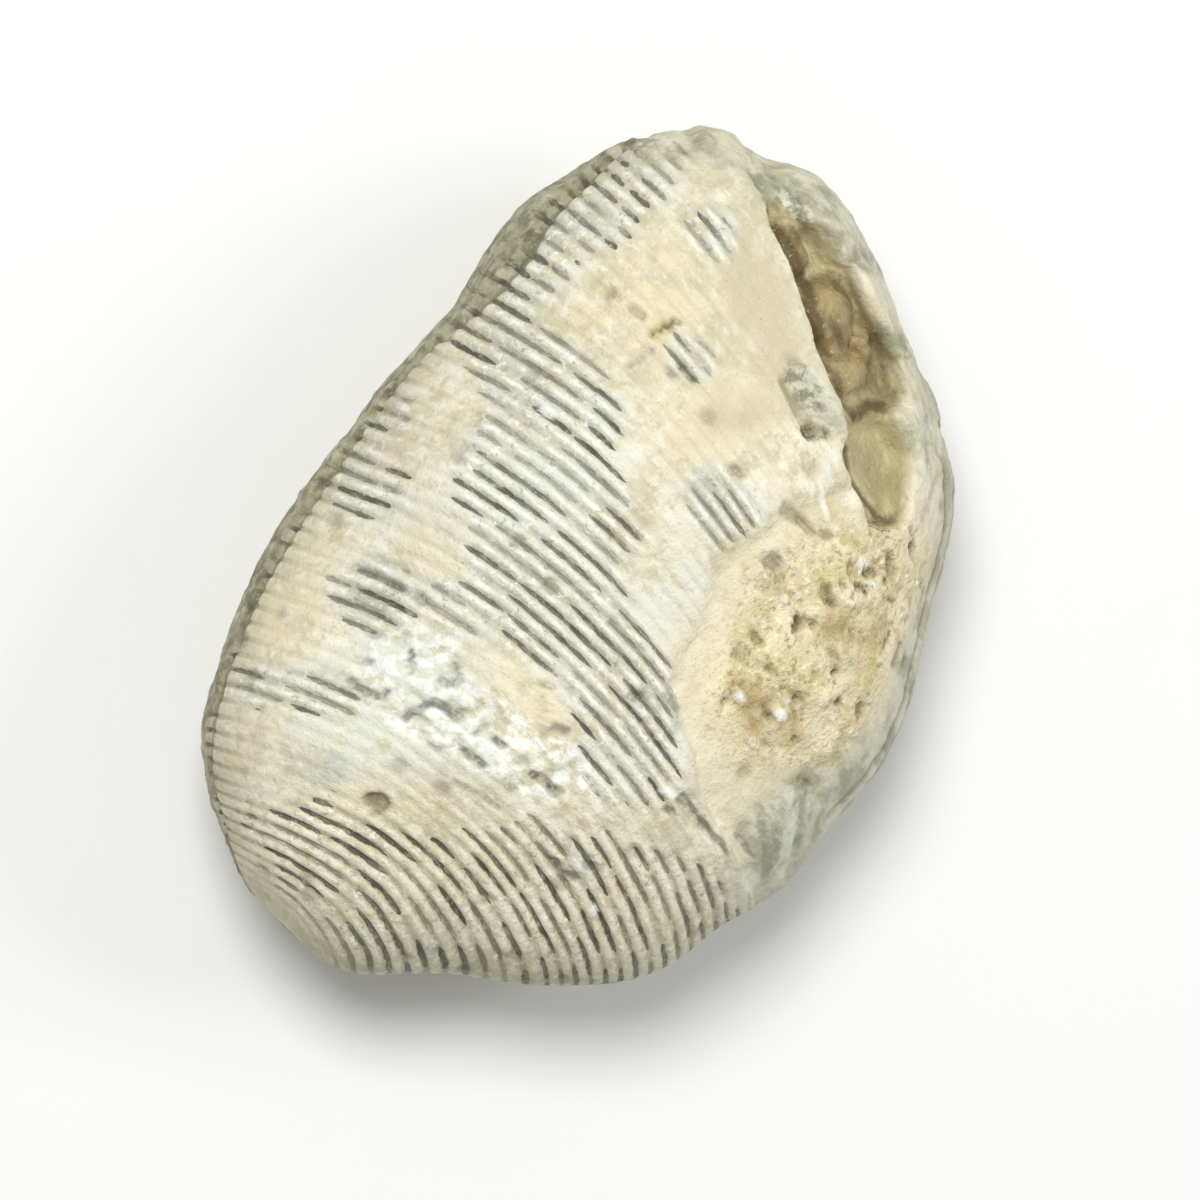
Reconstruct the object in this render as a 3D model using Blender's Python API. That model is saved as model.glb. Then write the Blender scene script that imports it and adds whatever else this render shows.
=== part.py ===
"""A fossil brachiopod shell, filled with stone, lying on its flatter valve.

The shell is one solid. Each rib is a closed ring that runs over the upper valve from the
front margin to the hinge side and back under the lower valve, so the surface is a row of
such rings from the left tip to the right tip. The sizes here are in millimetres, and the
points are scaled to metres at the end. +X runs along the hinge and +Y to the front margin.
"""

import bmesh
import bpy
import numpy as np

MM = 0.001

# The shell seen from above: the front margin from the left tip to the right tip ...
FRONT_MARGIN = [
    (-19.7, 2.3), (-18.9, 5.5), (-16.2, 9.2), (-12.1, 11.4), (-6.2, 12.7), (0.2, 13.7),
    (5.6, 13.1), (11.1, 13.7), (16.0, 12.0), (18.8, 9.2), (19.0, 6.9), (19.9, 4.3),
    (19.0, 0.4), (17.7, -2.6),
]
# ... and the hinge side, from the right tip back to the left
HINGE_MARGIN = [
    (15.9, -5.9), (13.6, -8.8), (10.4, -11.1), (5.4, -13.2), (0.0, -13.9), (-5.7, -13.5),
    (-10.7, -12.2), (-13.9, -9.5), (-16.5, -5.7), (-19.4, -2.0),
]
SPLINE_STEPS = 24

# Ribs: where each leaves the front margin and where it reaches the hinge side, as shares of
# those two curves, and how far it bends sideways, as a share of its length
RIB_START = (0.0, 0.15, 0.30, 0.45, 0.60, 0.75, 1.0)
RIB_END = (1.0, 0.73, 0.56, 0.43, 0.33, 0.25, 0.0)
RIB_BOW = (0.11, 0.12, 0.11, 0.09, 0.07, 0.05, 0.0)
RIBBED_ROW = 0.75        # the ribs end here, and the worn rim goes on to the right tip
RIBS = 53
WORN_RINGS = 14
RIB_HEIGHT = 0.33
RIB_FADE = 0.05          # the ribs die out over this share of the row at the left tip

# Points round each ring
UPPER_POINTS = 25
LOWER_POINTS = 16
# The seam of the valves, in radians of the ring: on the upper side along the front, where
# the lower valve shows as a lip, and past the rim on the hinge side, where the beak curls
LIP_ROW = (0.0, 0.08, 0.46, 0.54, 0.68, 0.76, 0.94, 1.0)
LIP = (0.0, 0.30, 0.30, 0.52, 0.48, 0.0, -0.15, 0.0)
BEAK_CURL = 0.55
SEAM_DEPTH = 0.55

# Heights above the ground
RIM_HEIGHT = 7.9
DOME_HEIGHT = 10.4
DOME_TOP = (1.0, -2.0)
DOME_FALL = (2.6, 0.5)
BOWL_DEPTH = 8.6
BOWL_LOW = (0.0, -0.5)
BOWL_FALL = (2.2, 0.56)
SWELL_HEIGHT = 0.3       # broad unevenness of the surface

# Beak: a knob on the hinge side that leans over the seam
BEAK_AT = (-4.5, -12.6)
BEAK_WIDTH = 4.2
BEAK_HEIGHT = 0.9

# The worn area of the hinge side: its edge across the upper valve, from left to right
WORN_EDGE_X = (-6.2, -4.7, -3.7, -1.0, 1.1, 4.4, 7.5, 10.8, 12.6, 15.2, 16.8, 18.3)
WORN_EDGE_Y = (-13.9, -10.9, -8.5, -4.6, -3.9, -2.8, -3.4, -4.8, -3.0, 1.6, 5.0, 9.8)
WORN_DEPTH = 0.45
WORN_SLOPE = 0.9         # the step at its edge is this wide
RIDGE_HEIGHT = 0.35      # the edge stands up where it runs beside the pit
RIDGE_WIDTH = 1.3
RIDGE_FROM_X = (10.0, 13.5)

# The long pit beside the right rim
PIT_AXIS = [(17.2, 4.4), (16.4, 1.4), (15.3, -1.4), (13.9, -4.0), (12.3, -6.0)]
PIT_HALF_WIDTH = [0.7, 1.3, 1.4, 1.4, 1.2]
PIT_WALL = 1.5
PIT_SINK = (-0.7, 0.4, -2.3)


def smooth(low, high, value):
    """Nought at low, one at high, and an S-curve between them."""
    t = np.clip((value - low) / (high - low), 0, 1)
    return t * t * (3 - 2 * t)


def closed_spline(points):
    """A closed Catmull-Rom curve through the points."""
    points = np.array(points, float)
    t = (np.arange(SPLINE_STEPS) / SPLINE_STEPS)[:, None, None]
    before, here, after, beyond = (np.roll(points, 1 - k, axis=0) for k in range(4))
    curve = 0.5 * (
        2 * here
        + (after - before) * t
        + (2 * before - 5 * here + 4 * after - beyond) * t**2
        + (3 * here - before - 3 * after + beyond) * t**3
    )
    return curve.transpose(1, 0, 2).reshape(-1, 2)


def point_at(curve, share):
    """The point at this share of an open curve's length."""
    steps = np.linalg.norm(np.diff(curve, axis=0), axis=1)
    length = np.concatenate([[0], np.cumsum(steps)])
    at = share * length[-1]
    return np.stack([np.interp(at, length, curve[:, k]) for k in (0, 1)], axis=-1)


def spread(plan, middle, margin):
    """Distance from the middle, as a share of the margin's distance in that direction."""
    rim = margin - middle
    rim_angle = np.arctan2(rim[:, 1], rim[:, 0])
    away = plan - middle
    angle = np.arctan2(away[..., 1], away[..., 0])
    reach = np.interp(angle, *in_order(rim_angle, np.hypot(*rim.T)), period=2 * np.pi)
    return np.clip(np.hypot(away[..., 0], away[..., 1]) / reach, 0, 1)


def in_order(keys, values):
    order = np.argsort(keys)
    return keys[order], values[order]


def distance_to_path(plan, path, widths):
    """Distance to a path of short straight pieces, and the path's half width at its foot."""
    best = np.full(plan.shape[:-1], np.inf)
    width = np.zeros(plan.shape[:-1])
    for start, end, width_a, width_b in zip(path, path[1:], widths, widths[1:]):
        start = np.array(start)
        piece = np.array(end) - start
        foot = np.clip((plan - start) @ piece / (piece @ piece), 0, 1)
        gap = np.linalg.norm(plan - start - foot[..., None] * piece, axis=-1)
        nearer = gap < best
        best = np.where(nearer, gap, best)
        width = np.where(nearer, width_a + (width_b - width_a) * foot, width)
    return best, width


def row_of_rings():
    """Places of the rings from tip to tip: two to a rib, then the plain ones."""
    ribbed = np.linspace(0, RIBBED_ROW, 2 * RIBS + 1)[1:]
    return np.append(ribbed, np.linspace(RIBBED_ROW, 1, WORN_RINGS + 2)[1:-1])


def ring_angles(row):
    """Angles round each ring, from the front seam over the top to the hinge seam and on."""
    lip = np.interp(row, LIP_ROW, LIP)[:, None]
    curl = np.pi + BEAK_CURL * np.sin(np.pi * row[:, None]) ** 0.7
    upper = np.linspace(0, 1, UPPER_POINTS, endpoint=False)
    lower = np.linspace(0, 1, LOWER_POINTS, endpoint=False)
    return np.concatenate(
        [lip + upper * (curl - lip), curl + lower * (lip + 2 * np.pi - curl)], axis=1
    )


def body(row, turn, margin):
    """The shell without its relief.

    Seen from above, a rib is a parabola from the front margin to the hinge side. Its height
    is that of a dome above the rim and of a shallower bowl below it.
    """
    tip = SPLINE_STEPS * len(FRONT_MARGIN)
    front = margin[: tip + 1]
    hinge = np.concatenate([margin[tip:], margin[:1]])
    start = point_at(front, row)
    chord = point_at(hinge, np.interp(row, RIB_START, RIB_END)) - start
    side = np.stack([-chord[..., 1], chord[..., 0]], axis=-1)
    bow = np.interp(row, RIB_START, RIB_BOW)[..., None]
    s = (1 - np.cos(turn))[..., None] / 2
    plan = start + chord * s + 4 * bow * side * s * (1 - s)

    power, root = DOME_FALL
    dome = DOME_HEIGHT * (1 - spread(plan, DOME_TOP, margin) ** power) ** root
    power, root = BOWL_FALL
    bowl = BOWL_DEPTH * (1 - spread(plan, BOWL_LOW, margin) ** power) ** root
    height = RIM_HEIGHT + np.where(np.sin(turn) > 0, dome, -bowl)
    return np.concatenate([plan, height[..., None]], axis=-1)


def outward(points):
    """Unit normals of a grid of rings, each ring closed."""
    round_ring = np.roll(points, -1, axis=1) - np.roll(points, 1, axis=1)
    along_row = np.gradient(points, axis=0)
    normal = np.cross(round_ring, along_row)
    return normal / np.linalg.norm(normal, axis=-1, keepdims=True)


def on_top(points):
    """One on the upper side, fading to nought below the rim."""
    return smooth(RIM_HEIGHT - 3, RIM_HEIGHT - 1, points[..., 2])


def past_edge(points):
    """How far a point lies past the edge of the worn area, towards the hinge side."""
    return np.interp(points[..., 0], WORN_EDGE_X, WORN_EDGE_Y, left=-20) - points[..., 1]


def worn_share(points):
    """One inside the worn area, and nought outside it."""
    return on_top(points) * smooth(0, WORN_SLOPE, past_edge(points))


def relief(points, row, turn):
    """Height over the body: ribs, worn area with its ridge, unevenness, beak and seam."""
    x, y, _ = np.moveaxis(points, -1, 0)
    fade = smooth(0, RIB_FADE, row) * smooth(1, 1 - RIB_FADE, row)
    ribbed = np.arange(len(points)) < 2 * RIBS
    crest = np.where(ribbed, np.arange(len(points)) % 2 - 0.5, 0)[:, None]
    worn = worn_share(points)
    height = RIB_HEIGHT * crest * fade * (1 - worn) - WORN_DEPTH * worn

    ridge = np.exp(-((past_edge(points) / RIDGE_WIDTH) ** 2)) * smooth(*RIDGE_FROM_X, x)
    height += RIDGE_HEIGHT * ridge * on_top(points) * fade

    swell = np.sin(0.42 * x + 1.1) * np.sin(0.37 * y - 0.6) + 0.5 * np.sin(0.5 * (x - y))
    height += SWELL_HEIGHT * swell * fade

    gap = np.hypot(x - BEAK_AT[0], y - BEAK_AT[1])
    height += BEAK_HEIGHT * smooth(BEAK_WIDTH, 0, gap) * (turn < np.pi + BEAK_CURL)
    height[:, [0, UPPER_POINTS]] -= SEAM_DEPTH * np.sin(np.pi * row[:, [0]]) ** 0.7
    return height


def pit(points):
    """How far each point sinks with the pit, as vectors."""
    gap, half_width = distance_to_path(points[..., :2], PIT_AXIS, PIT_HALF_WIDTH)
    depth = smooth(PIT_WALL / 2, -PIT_WALL / 2, gap - half_width) * on_top(points)
    return depth[..., None] * PIT_SINK


def shell_points():
    """The rings as an array of points, standing over the origin."""
    margin = closed_spline(FRONT_MARGIN + HINGE_MARGIN)
    row = row_of_rings()
    turn = ring_angles(row)
    row = np.broadcast_to(row[:, None], turn.shape)
    plain = body(row, turn, margin)
    points = plain + outward(plain) * relief(plain, row, turn)[..., None] + pit(plain)
    points[..., 2] = np.maximum(points[..., 2], 0)
    middle = (points.max(axis=(0, 1)) + points.min(axis=(0, 1))) / 2
    return points - [middle[0], middle[1], 0]


def ring_of_edges(bm, points):
    verts = [bm.verts.new(point) for point in points]
    return [bm.edges.new(pair) for pair in zip(verts, verts[1:] + verts[:1])]


def close_tip(bm, ring):
    """A fan of triangles from a ring to the point in its middle."""
    cap = bmesh.ops.contextual_create(bm, geom=ring)["faces"]
    bmesh.ops.poke(bm, faces=cap)


def add_shell():
    bm = bmesh.new()
    rings = [ring_of_edges(bm, ring) for ring in shell_points() * MM]
    for ring, following in zip(rings, rings[1:]):
        bmesh.ops.bridge_loops(bm, edges=ring + following)
    for groove in rings[: 2 * RIBS : 2]:
        for edge in groove:
            edge.smooth = False
    close_tip(bm, rings[0])
    close_tip(bm, rings[-1])
    bmesh.ops.recalc_face_normals(bm, faces=bm.faces)
    for face in bm.faces:
        face.smooth = True
    mesh = bpy.data.meshes.new("fossil")
    bm.to_mesh(mesh)
    bm.free()
    shell = bpy.data.objects.new("fossil", mesh)
    bpy.context.scene.collection.objects.link(shell)
    return shell


def stone_material():
    material = bpy.data.materials.new("cream shell limestone")
    material.use_nodes = True
    shader = material.node_tree.nodes["Principled BSDF"]
    shader.inputs["Base Color"].default_value = (0.74, 0.70, 0.54, 1)
    shader.inputs["Roughness"].default_value = 0.7
    shader.inputs["Metallic"].default_value = 0.0
    return material


def main():
    for item in list(bpy.data.objects):
        bpy.data.objects.remove(item, do_unlink=True)
    shell = add_shell()
    shell.data.materials.append(stone_material())


main()
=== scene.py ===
import bpy
import numpy as np
from mathutils import Matrix, Vector


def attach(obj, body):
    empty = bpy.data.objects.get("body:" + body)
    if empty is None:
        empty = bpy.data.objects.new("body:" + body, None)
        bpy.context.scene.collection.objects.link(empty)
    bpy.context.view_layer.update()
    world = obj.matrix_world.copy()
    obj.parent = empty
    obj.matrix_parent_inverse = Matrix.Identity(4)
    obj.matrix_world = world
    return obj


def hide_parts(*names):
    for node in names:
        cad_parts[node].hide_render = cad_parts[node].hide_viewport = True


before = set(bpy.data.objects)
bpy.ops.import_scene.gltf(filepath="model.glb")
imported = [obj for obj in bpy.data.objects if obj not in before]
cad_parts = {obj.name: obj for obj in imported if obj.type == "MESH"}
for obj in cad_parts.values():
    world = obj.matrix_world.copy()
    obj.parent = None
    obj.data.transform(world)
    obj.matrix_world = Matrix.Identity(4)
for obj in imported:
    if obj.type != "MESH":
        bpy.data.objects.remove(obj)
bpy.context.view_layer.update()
mm = 0.001
print("frame loaded")


def smooth(low, high, value):
    # nought at low, one at high, and an S-curve between
    t = np.clip((value - low) / (high - low), 0, 1)
    return t * t * (3 - 2 * t)


def noise(points, size, seed):
    # value noise: random numbers on a cubic lattice of this size, blended smoothly, -1 to 1
    table = np.random.default_rng(seed).uniform(-1, 1, (32, 32, 32))
    at = points / size
    cell = np.floor(at).astype(int)
    t = smooth(0, 1, at - cell)
    total = np.zeros(points.shape[:-1])
    for corner in np.ndindex(2, 2, 2):
        weight = np.prod(np.where(corner, t, 1 - t), axis=-1)
        total += weight * table[tuple(np.moveaxis((cell + corner) % 32, -1, 0))]
    return total


def layered(points, size, seed, layers=3):
    # noise at halving sizes and halving strengths, added up
    return sum(noise(points, size / 2**k, seed + k) / 2**k for k in range(layers)) / 1.5


def cells(points, size, seed):
    # one random point per lattice cell: distance to the nearest, how much further the second
    # is (nought on the border between two), both as shares of the size, and the nearest's luck
    dice = np.random.default_rng(seed).uniform(0, 1, (32, 32, 32, 4))
    at = points / size
    cell = np.floor(at).astype(int)
    nearest = np.full(points.shape[:-1], 9.0)
    second, luck = nearest.copy(), np.zeros_like(nearest)
    for step in np.ndindex(3, 3, 3):
        near = cell + step - 1
        roll = dice[tuple(np.moveaxis(near % 32, -1, 0))]
        gap = np.linalg.norm(at - near - roll[..., :3], axis=-1)
        luck = np.where(gap < nearest, roll[..., 3], luck)
        second = np.minimum(second, np.maximum(gap, nearest))
        nearest = np.minimum(nearest, gap)
    return nearest, second - nearest, luck


form = {
    # seen from above: the front margin from the left tip to the right tip
    "frontMargin": [
        (-19.7, 2.3), (-18.9, 5.5), (-16.2, 9.2), (-12.1, 11.4), (-6.2, 12.7), (0.2, 13.7),
        (5.6, 13.1), (11.1, 13.7), (16.0, 12.0), (18.8, 9.2), (19.0, 6.9), (19.9, 4.3),
        (19.0, 0.4), (17.7, -2.6),
    ],
    # and the hinge side from the right tip back
    "hingeMargin": [
        (15.9, -5.9), (13.6, -8.8), (10.4, -11.1), (5.4, -13.2), (0.0, -13.9), (-5.7, -13.5),
        (-10.7, -12.2), (-13.9, -9.5), (-16.5, -5.7), (-19.4, -2.0),
    ],
    "splineSteps": 24,
    "ribStart": (0.0, 0.15, 0.30, 0.45, 0.60, 0.75, 1.0),
    "ribEnd": (1.0, 0.73, 0.56, 0.43, 0.33, 0.25, 0.0),
    "ribBow": (0.11, 0.12, 0.11, 0.09, 0.07, 0.05, 0.0),
    "lipRow": (0.0, 0.08, 0.46, 0.55, 0.62, 0.68, 0.74, 0.94, 1.0),
    "lip": (0.0, 0.27, 0.25, 0.42, 0.36, 0.16, 0.0, -0.15, 0.0),
    "beakCurl": 0.55,
    "rimHeight": 7.9,
    "domeHeight": 10.4, "domeTop": (1.0, -2.0), "domeFall": (2.6, 0.5),
    "bowlDepth": 8.6, "bowlLow": (0.0, -0.5), "bowlFall": (2.2, 0.56),
    "ribs": 53, "ribbedRow": 0.75, "rowsPerRib": 7, "wornRows": 74,
    "upperPoints": 168, "lowerPoints": 54,
    "middle": (-0.21, 0.07),
}


def closedSpline(points, steps):
    # Catmull-Rom curve through the points
    points = np.array(points, float)
    t = (np.arange(steps) / steps)[:, None, None]
    before, here, after, beyond = (np.roll(points, 1 - k, axis=0) for k in range(4))
    curve = 0.5 * (
        2 * here
        + (after - before) * t
        + (2 * before - 5 * here + 4 * after - beyond) * t**2
        + (3 * here - before - 3 * after + beyond) * t**3
    )
    return curve.transpose(1, 0, 2).reshape(-1, 2)


def pointAt(curve, share):
    # the point at this share of an open curve's length
    steps = np.linalg.norm(np.diff(curve, axis=0), axis=1)
    length = np.concatenate([[0], np.cumsum(steps)])
    at = share * length[-1]
    return np.stack([np.interp(at, length, curve[:, k]) for k in (0, 1)], axis=-1)


def spread(plan, middle, margin):
    # distance from the middle as a share of the margin's distance in that direction
    rim = margin - middle
    rimAngle = np.arctan2(rim[:, 1], rim[:, 0])
    order = np.argsort(rimAngle)
    away = plan - middle
    angle = np.arctan2(away[..., 1], away[..., 0])
    reach = np.interp(angle, rimAngle[order], np.hypot(*rim.T)[order], period=2 * np.pi)
    return np.clip(np.hypot(away[..., 0], away[..., 1]) / reach, 0, 1)


def shellGrid():
    # row: place of each ring from tip to tip. turn: angle round the ring, starting at the
    # front seam, over the top to the hinge seam, and back under the lower valve
    ribbed = np.linspace(0, form["ribbedRow"], form["ribs"] * form["rowsPerRib"] + 1)[1:]
    plain = np.linspace(form["ribbedRow"], 1, form["wornRows"] + 2)[1:-1]
    row = np.concatenate([ribbed, plain])[:, None]
    lip = np.interp(row, form["lipRow"], form["lip"])
    curl = np.pi + form["beakCurl"] * np.sin(np.pi * row) ** 0.7
    upper = np.linspace(0, 1, form["upperPoints"], endpoint=False)
    lower = np.linspace(0, 1, form["lowerPoints"], endpoint=False)
    turn = np.concatenate(
        [lip + upper * (curl - lip), curl + lower * (lip + 2 * np.pi - curl)], axis=1
    )
    return np.broadcast_to(row, turn.shape), turn


def plainShell(row, turn, margin):
    # seen from above a rib is a parabola from the front margin to the hinge side; its height
    # is a dome above the rim, (1 - spread^power)^root, and a shallower bowl below it
    tip = form["splineSteps"] * len(form["frontMargin"])
    start = pointAt(margin[: tip + 1], row)
    hinge = np.concatenate([margin[tip:], margin[:1]])
    chord = pointAt(hinge, np.interp(row, form["ribStart"], form["ribEnd"])) - start
    side = np.stack([-chord[..., 1], chord[..., 0]], axis=-1)
    bow = np.interp(row, form["ribStart"], form["ribBow"])[..., None]
    s = (1 - np.cos(turn))[..., None] / 2
    plan = start + chord * s + 4 * bow * side * s * (1 - s)
    power, root = form["domeFall"]
    dome = form["domeHeight"] * (1 - spread(plan, form["domeTop"], margin) ** power) ** root
    power, root = form["bowlFall"]
    bowl = form["bowlDepth"] * (1 - spread(plan, form["bowlLow"], margin) ** power) ** root
    height = form["rimHeight"] + np.where(np.sin(turn) > 0, dome, -bowl)
    return np.concatenate([plan, height[..., None]], axis=-1)


def outward(points):
    # unit normals of the grid, from the steps round the rings and along the row
    roundRing = np.roll(points, -1, axis=1) - np.roll(points, 1, axis=1)
    normal = np.cross(roundRing, np.gradient(points, axis=0))
    return normal / np.linalg.norm(normal, axis=-1, keepdims=True)


def pathDistance(plan, path, widths):
    # distance to a path of straight pieces less its half width there, the share along it, and
    # which side of it a point is on
    best = np.full(plan.shape[:-1], 99.0)
    share, side = np.zeros_like(best), np.zeros_like(best)
    for k, (start, end) in enumerate(zip(path, path[1:])):
        piece = np.subtract(end, start)
        foot = np.clip((plan - start) @ piece / max(piece @ piece, 1e-9), 0, 1)
        width = widths[k] + (widths[k + 1] - widths[k]) * foot
        away = plan - start - foot[..., None] * piece
        gap = np.linalg.norm(away, axis=-1) - width
        share = np.where(gap < best, (k + foot) / (len(path) - 1), share)
        side = np.where(gap < best, piece[0] * away[..., 1] - piece[1] * away[..., 0], side)
        best = np.minimum(best, gap)
    return best, share, side


def ellipse(plan, x, y, length, width, angle):
    # squared distance from the middle of an ellipse turned by angle, one on its outline
    c, s = np.cos(np.radians(angle)), np.sin(np.radians(angle))
    dx, dy = plan[..., 0] - x, plan[..., 1] - y
    return ((dx * c + dy * s) / length) ** 2 + ((dy * c - dx * s) / width) ** 2


def blots(plan, places):
    # soft ellipses, each a bell in the middle that falls to nought outside, added up to one
    return np.clip(sum(np.exp(-ellipse(plan, *place)) for place in places), 0, 1)


relief = {
    "ribRound": 0.065, "ribCut": 0.17, "cutShare": 0.16, "ribWave": 0.24, "growthLine": 0.03,
    "finerBy": 0.12, "finerReach": 0.14, "dashLeast": 3.4, "dashSpan": 3.4,
    "swell": 0.3, "seamDepth": 0.45, "seamWidth": 0.28, "notchDepth": 0.25, "lipStep": 0.2,
    "beak": (-4.5, -12.6, 4.2, 0.9),
    "wornEdgeX": (-6.2, -4.7, -3.7, -1.0, 1.1, 4.4, 7.5, 10.8, 12.6, 15.2, 16.8, 18.3),
    "wornEdgeY": (-13.9, -10.9, -8.5, -4.6, -3.9, -2.8, -3.4, -4.8, -3.0, 1.6, 5.0, 9.8),
    "wornDepth": 0.4, "ridgeHeight": 0.3, "ridgeWidth": 1.3,
    "pitAxis": [(17.3, 4.7), (17.1, 2.8), (16.3, 0.7), (15.5, -1.1), (14.8, -3.0),
                (13.6, -4.0), (12.4, -5.4), (11.1, -7.0)],
    "pitHalfWidth": [0.5, 1.0, 1.4, 1.7, 1.9, 1.3, 1.7, 1.0],
    "pitSink": (-0.25, 0.25, -2.5), "leftWall": 0.35, "rightWall": 1.05,
    "pitWander": 0.14, "septumShare": 0.45,
    "dashShare": 0.6, "dashShareSpan": 0.36, "dashCrowd": 2.6,
    "markWander": 0.22, "markGrain": 0.1, "strokeWander": 0.1, "markEdges": (0.15, 0.85),
    "lipRough": 0.14, "lipGrain": 0.06, "mossRough": 0.2, "flankLineDepth": 0.22,
    "knobHeight": 0.2, "ochreRough": 0.22, "pearlHeight": 0.25, "holeDepth": 0.36,
    "flakeDepth": 0.14, "flakeRise": 0.08, "crystalHeight": 0.3, "crystalDepth": 0.35,
    "crustRough": 0.16, "wornRough": 0.08, "wornGrain": 0.04, "stoneRough": 0.04,
    "chipDepth": 0.12,
}
# The marks on the shell are laid out in plan as seen at this slant: x and y for each
# millimetre of height over the rim.
slant = (0.066, -0.091)
# soft ellipses: x, y, half length, half width, angle
marks = {
    "grooved": [  # dark cuts between the ribs, where the surface is fresh
        (12.4, 11.1, 5.0, 1.8, -17), (14.9, 6.3, 1.3, 1.1, -105), (5.4, 9.2, 2.8, 2.0, -80),
        (5.4, 6.1, 2.6, 1.5, -85), (1.4, 5.5, 3.7, 2.2, -82), (2.7, 1.5, 1.8, 1.3, -85),
        (6.3, -1.5, 1.8, 1.5, -90), (-1.7, 2.0, 3.5, 2.0, -80), (-1.9, -1.8, 3.3, 2.2, -88),
        (-4.4, -5.3, 2.6, 2.0, -95), (-3.0, 11.0, 2.0, 1.5, -70), (-6.2, 7.7, 2.0, 1.8, -70),
        (-11.4, 7.4, 3.5, 1.0, -60), (-15.3, -0.5, 7.2, 2.8, -75),
        (-17.3, -4.0, 3.4, 2.4, -75), (-13.4, -9.0, 3.5, 2.0, -50),
        (-10.5, -7.3, 4.4, 2.4, -85), (10.3, 3.6, 1.1, 0.9, -90),
        (-7.7, -11.3, 2.6, 2.0, -100), (-4.5, 4.6, 1.3, 0.9, -80), (8.0, 11.6, 1.8, 1.2, -30),
        (-0.6, 12.4, 2.0, 0.9, -15),
    ],
    "scuffed": [
        (-8.1, 2.1, 4.2, 1.7, -70), (-7.2, -2.3, 2.6, 1.2, -70), (-6.9, 4.8, 1.8, 1.1, -50),
    ],
    "chalk": [  # whiter, dusty patches
        (-10.8, 2.7, 5.2, 2.0, -55), (-7.0, 3.6, 2.6, 1.8, -50), (3.3, 4.9, 2.6, 3.9, -110),
        (-1.5, 6.5, 2.6, 1.3, -50), (-9.0, 5.9, 2.2, 1.3, -50), (1.7, -2.8, 2.6, 2.6, -50),
    ],
    "warm": [
        (12.1, 6.0, 3.1, 2.6, -50), (8.9, 1.6, 3.1, 3.1, -50), (-2.7, 6.6, 2.6, 1.8, -20),
        (-11.9, 1.2, 2.6, 1.3, -50), (1.5, -5.2, 3.1, 3.1, -50), (-5.0, -0.9, 2.6, 1.8, -90),
        (-9.0, 10.0, 2.2, 1.8, 10),
    ],
    "pink": [(13.9, 2.8, 4.7, 1.5, -115), (9.9, 0.6, 1.9, 1.5, -50)],
    "ochre": [
        (6.7, -6.6, 3.1, 2.2, -40), (1.6, -8.0, 2.6, 2.2, -50), (7.3, -9.5, 2.2, 2.2, 10),
        (4.1, -7.6, 2.6, 1.8, -50), (9.4, -8.6, 2.0, 1.6, -50), (0.2, -9.6, 2.2, 1.6, -50),
        (3.4, -11.2, 2.6, 1.2, 15),
    ],
    "tan": [
        (6.0, -9.5, 1.8, 1.2, -50), (0.6, -8.2, 1.6, 0.8, -110), (0.8, -9.9, 1.2, 0.8, -50),
    ],
    "gold": [
        (7.9, -7.8, 0.9, 0.6, -50), (6.8, -7.0, 0.8, 0.5, 0), (10.4, 5.4, 0.8, 0.3, -20),
        (9.2, -5.0, 0.9, 0.35, -110), (4.9, -10.9, 0.9, 0.5, 0),
    ],
    "crystal": [(12.5, -1.1, 1.6, 0.7, -110), (17.9, 4.2, 1.4, 0.8, -100)],
    "mossy": [
        (18.9, 5.4, 2.6, 1.4, -60), (18.4, 9.6, 1.6, 0.9, -60), (16.8, 11.2, 1.4, 0.8, 20),
        (18.4, 1.0, 3.2, 0.45, -75), (17.0, -3.0, 2.6, 0.5, -62), (14.5, -6.5, 2.6, 0.9, -55),
        (20.0, 3.6, 2.2, 1.0, -80), (12.2, -2.3, 1.0, 0.6, -110),
    ],
    "ashy": [  # grey smudges over the fresh patches
        (5.4, 10.2, 1.6, 1.0, -75), (4.0, 7.9, 1.7, 1.1, -85), (2.6, 13.2, 1.6, 0.7, -15),
        (-1.7, 2.8, 1.7, 0.9, -80), (-1.3, -1.5, 1.9, 1.0, -88), (-6.6, 7.4, 1.6, 0.8, -60),
        (-9.9, 6.2, 1.5, 0.7, -55), (-13.2, 4.6, 1.6, 0.9, -60), (-9.7, -6.2, 1.6, 0.9, -80),
        (6.5, -0.5, 1.3, 0.8, -90), (10.5, 11.7, 2.4, 0.9, -17), (-2.2, -5.0, 1.6, 0.8, -90),
    ],
    "smoothFlank": [(-1.3, -12.7, 5.5, 1.8, -2), (7.0, -12.5, 4.0, 0.8, 25)],
}
# shares of a bell where a mark starts and where it is full, where they aren't relief's
edges = {
    "grooved": (0.3, 0.62), "scuffed": (0.3, 0.62), "mossy": (0.08, 0.6), "ochre": (0.05, 0.95),
    "tan": (0.05, 1.0), "pink": (0.05, 0.95), "ashy": (0.1, 0.9),
}
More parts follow.
